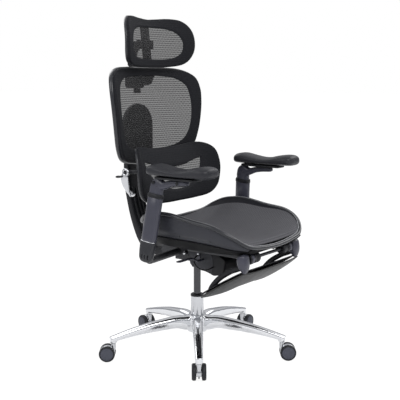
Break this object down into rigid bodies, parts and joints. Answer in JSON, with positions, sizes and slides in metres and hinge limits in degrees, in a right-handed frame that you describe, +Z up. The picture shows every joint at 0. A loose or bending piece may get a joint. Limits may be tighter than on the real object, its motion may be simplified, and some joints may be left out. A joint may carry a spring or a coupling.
{
  "type": "reclining office chair",
  "caption": "Mesh office chair on castors with headrest, lumbar support, height-adjustable arms and a footrest that slides out and folds over.",
  "frame": {"origin": "on the floor, on the axis of the gas column", "axes": "+Z up, the chair faces -Y, +X is the sitter's left"},
  "size_m": [0.7303, 0.7637, 1.304],
  "materials": {
    "polished_aluminium": "polished",
    "chrome": "polished",
    "wheel_plastic": "satin",
    "black_steel": "satin",
    "cast_metal": "satin",
    "black_plastic": "satin",
    "rim_plastic": "satin",
    "mesh_fabric": "woven",
    "grey_plastic": "satin",
    "pad_skin": "matte",
    "cable_jacket": "satin"
  },
  "bodies": {
    "base": {"base_star": "polished_aluminium", "gas_tube": "chrome", "column_bush": "black_plastic"},
    "castor_1": {"castor_fork_1": "chrome"},
    "wheels_1": {"castor_wheels_1": "wheel_plastic"},
    "castor_2": {"castor_fork_2": "chrome"},
    "wheels_2": {"castor_wheels_2": "wheel_plastic"},
    "castor_3": {"castor_fork_3": "chrome"},
    "wheels_3": {"castor_wheels_3": "wheel_plastic"},
    "castor_4": {"castor_fork_4": "chrome"},
    "wheels_4": {"castor_wheels_4": "wheel_plastic"},
    "castor_5": {"castor_fork_5": "chrome"},
    "wheels_5": {"castor_wheels_5": "wheel_plastic"},
    "column": {"gas_piston": "black_steel"},
    "chassis": {"mechanism_housing": "cast_metal", "mechanism_cover": "black_plastic", "tilt_springs": "black_steel", "lever_plate": "black_steel", "control_cable": "cable_jacket"},
    "tension_knob": {"tension_knob": "black_plastic"},
    "lift_lever": {"lift_lever": "black_steel"},
    "recline_lever": {"recline_lever": "black_steel"},
    "seat_carrier": {"seat_plate": "black_steel", "seat_shaft": "black_steel"},
    "seat": {"seat_frame": "black_plastic", "seat_rim": "rim_plastic", "seat_mesh": "mesh_fabric", "seat_rails": "black_steel"},
    "footrest_slide": {"footrest_tubes": "chrome", "footrest_clamps": "black_plastic"},
    "footrest": {"footrest_caps": "grey_plastic", "footrest_pad": "pad_skin", "footrest_braces": "black_steel"},
    "recliner": {"main_shaft": "black_steel", "rear_casting": "cast_metal", "back_spine": "black_plastic", "spine_plate": "black_plastic", "chrome_yoke": "polished_aluminium", "recliner_screws": "black_steel", "arm_sleeve_left": "grey_plastic", "arm_sleeve_right": "grey_plastic"},
    "lumbar": {"lumbar_frame": "rim_plastic", "lumbar_mesh": "mesh_fabric", "lumbar_arms": "black_plastic"},
    "back": {"back_frame": "rim_plastic", "back_mesh": "mesh_fabric", "back_carrier": "black_plastic", "headrest_bracket": "black_plastic"},
    "head_slider": {"headrest_slider": "black_plastic"},
    "headrest": {"headrest_bar": "black_plastic", "headrest_frame": "rim_plastic", "headrest_mesh": "mesh_fabric"},
    "arm_right": {"arm_stem_right": "grey_plastic"},
    "arm_button_right": {"arm_button_right": "grey_plastic"},
    "pad_slide_right": {"pad_base_right": "grey_plastic"},
    "pad_right": {"arm_pad_right": "pad_skin"},
    "arm_left": {"arm_stem_left": "grey_plastic"},
    "arm_button_left": {"arm_button_left": "grey_plastic"},
    "pad_slide_left": {"pad_base_left": "grey_plastic"},
    "pad_left": {"arm_pad_left": "pad_skin"}
  },
  "joints": [
    {"name": "castor_1_swivel", "type": "hinge", "parent": "base", "child": "castor_1", "pos_m": [-0.26756, -0.20979, 0.08], "axis": [0, 0, 1], "continuous": true},
    {"name": "castor_1_roll", "type": "hinge", "parent": "castor_1", "child": "wheels_1", "pos_m": [-0.24865, -0.19502, 0.031], "axis": [-0.6157, 0.788, 0], "continuous": true},
    {"name": "castor_2_swivel", "type": "hinge", "parent": "base", "child": "castor_2", "pos_m": [0.11684, -0.31929, 0.08], "axis": [0, 0, 1], "continuous": true},
    {"name": "castor_2_roll", "type": "hinge", "parent": "castor_2", "child": "wheels_2", "pos_m": [0.13129, -0.33846, 0.031], "axis": [0.7986, 0.6018, 0], "continuous": true},
    {"name": "castor_3_swivel", "type": "hinge", "parent": "base", "child": "castor_3", "pos_m": [0.33977, 0.01246, 0.08], "axis": [0, 0, 1], "continuous": true},
    {"name": "castor_3_roll", "type": "hinge", "parent": "castor_3", "child": "wheels_3", "pos_m": [0.36376, 0.0133, 0.031], "axis": [-0.0349, 0.9994, 0], "continuous": true},
    {"name": "castor_4_swivel", "type": "hinge", "parent": "base", "child": "castor_4", "pos_m": [0.09315, 0.32699, 0.08], "axis": [0, 0, 1], "continuous": true},
    {"name": "castor_4_roll", "type": "hinge", "parent": "castor_4", "child": "wheels_4", "pos_m": [0.09976, 0.35006, 0.031], "axis": [-0.9613, 0.2756, 0], "continuous": true},
    {"name": "castor_5_swivel", "type": "hinge", "parent": "base", "child": "castor_5", "pos_m": [-0.2822, 0.18963, 0.08], "axis": [0, 0, 1], "continuous": true},
    {"name": "castor_5_roll", "type": "hinge", "parent": "castor_5", "child": "wheels_5", "pos_m": [-0.29665, 0.2088, 0.031], "axis": [-0.7986, -0.6018, 0], "continuous": true},
    {"name": "column_lift", "type": "slide", "parent": "base", "child": "column", "axis": [0, 0, 1], "range_m": [-0.08, 0]},
    {"name": "seat_swivel", "type": "hinge", "parent": "column", "child": "chassis", "pos_m": [0, 0, 0.36], "axis": [0, 0, 1], "continuous": true},
    {"name": "recline", "type": "hinge", "parent": "chassis", "child": "recliner", "pos_m": [0, 0, 0.412], "axis": [-1, 0, 0], "range_deg": [0, 25]},
    {"name": "seat_tilt", "type": "hinge", "parent": "chassis", "child": "seat_carrier", "pos_m": [0, -0.096, 0.42], "axis": [-1, 0, 0], "range_deg": [0, 5]},
    {"name": "seat_slide", "type": "slide", "parent": "seat_carrier", "child": "seat", "axis": [0, -1, 0], "range_m": [0, 0.05]},
    {"name": "footrest_slide", "type": "slide", "parent": "seat", "child": "footrest_slide", "axis": [0, -1, 0], "range_m": [0, 0.18]},
    {"name": "footrest_flip", "type": "hinge", "parent": "footrest_slide", "child": "footrest", "pos_m": [0, -0.328, 0.442], "axis": [-1, 0, 0], "range_deg": [0, 105]},
    {"name": "back_height", "type": "slide", "parent": "recliner", "child": "back", "axis": [0, 0, 1], "range_m": [0, 0.05]},
    {"name": "lumbar_tilt", "type": "hinge", "parent": "recliner", "child": "lumbar", "pos_m": [0, 0.132, 0.73], "axis": [1, 0, 0], "range_deg": [-6, 6]},
    {"name": "head_lift", "type": "slide", "parent": "back", "child": "head_slider", "axis": [0, 0, 1], "range_m": [0, 0.05]},
    {"name": "head_tilt", "type": "hinge", "parent": "head_slider", "child": "headrest", "pos_m": [0, 0.284, 1.205], "axis": [-1, 0, 0], "range_deg": [-5, 25]},
    {"name": "arm_lift_right", "type": "slide", "parent": "recliner", "child": "arm_right", "axis": [0.1194, -0.108, 0.987], "range_m": [0, 0.07]},
    {"name": "arm_button_right", "type": "slide", "parent": "arm_right", "child": "arm_button_right", "axis": [1, 0, 0], "range_m": [0, 0.003]},
    {"name": "pad_slide_right", "type": "slide", "parent": "arm_right", "child": "pad_slide_right", "axis": [0, -1, 0], "range_m": [-0.02, 0.03]},
    {"name": "pad_turn_right", "type": "hinge", "parent": "pad_slide_right", "child": "pad_right", "pos_m": [-0.274, -0.124, 0.732], "axis": [0, 0, 1], "range_deg": [-15, 15]},
    {"name": "arm_lift_left", "type": "slide", "parent": "recliner", "child": "arm_left", "axis": [-0.1194, -0.108, 0.987], "range_m": [0, 0.07]},
    {"name": "arm_button_left", "type": "slide", "parent": "arm_left", "child": "arm_button_left", "axis": [-1, 0, 0], "range_m": [0, 0.003]},
    {"name": "pad_slide_left", "type": "slide", "parent": "arm_left", "child": "pad_slide_left", "axis": [0, -1, 0], "range_m": [-0.02, 0.03]},
    {"name": "pad_turn_left", "type": "hinge", "parent": "pad_slide_left", "child": "pad_left", "pos_m": [0.274, -0.124, 0.732], "axis": [0, 0, 1], "range_deg": [-15, 15]},
    {"name": "lift_lever", "type": "hinge", "parent": "chassis", "child": "lift_lever", "pos_m": [-0.06, -0.082, 0.396], "axis": [1, 0, 0], "range_deg": [-12, 12]},
    {"name": "recline_lever", "type": "hinge", "parent": "chassis", "child": "recline_lever", "pos_m": [0.06, -0.082, 0.396], "axis": [1, 0, 0], "range_deg": [-12, 12]},
    {"name": "tension_knob", "type": "hinge", "parent": "chassis", "child": "tension_knob", "pos_m": [0.07, -0.146, 0.382], "axis": [1, 0, 0], "continuous": true}
  ],
  "couplings": [
    {"joint": "seat_tilt", "follows": "recline", "ratio": 0.2}
  ]
}
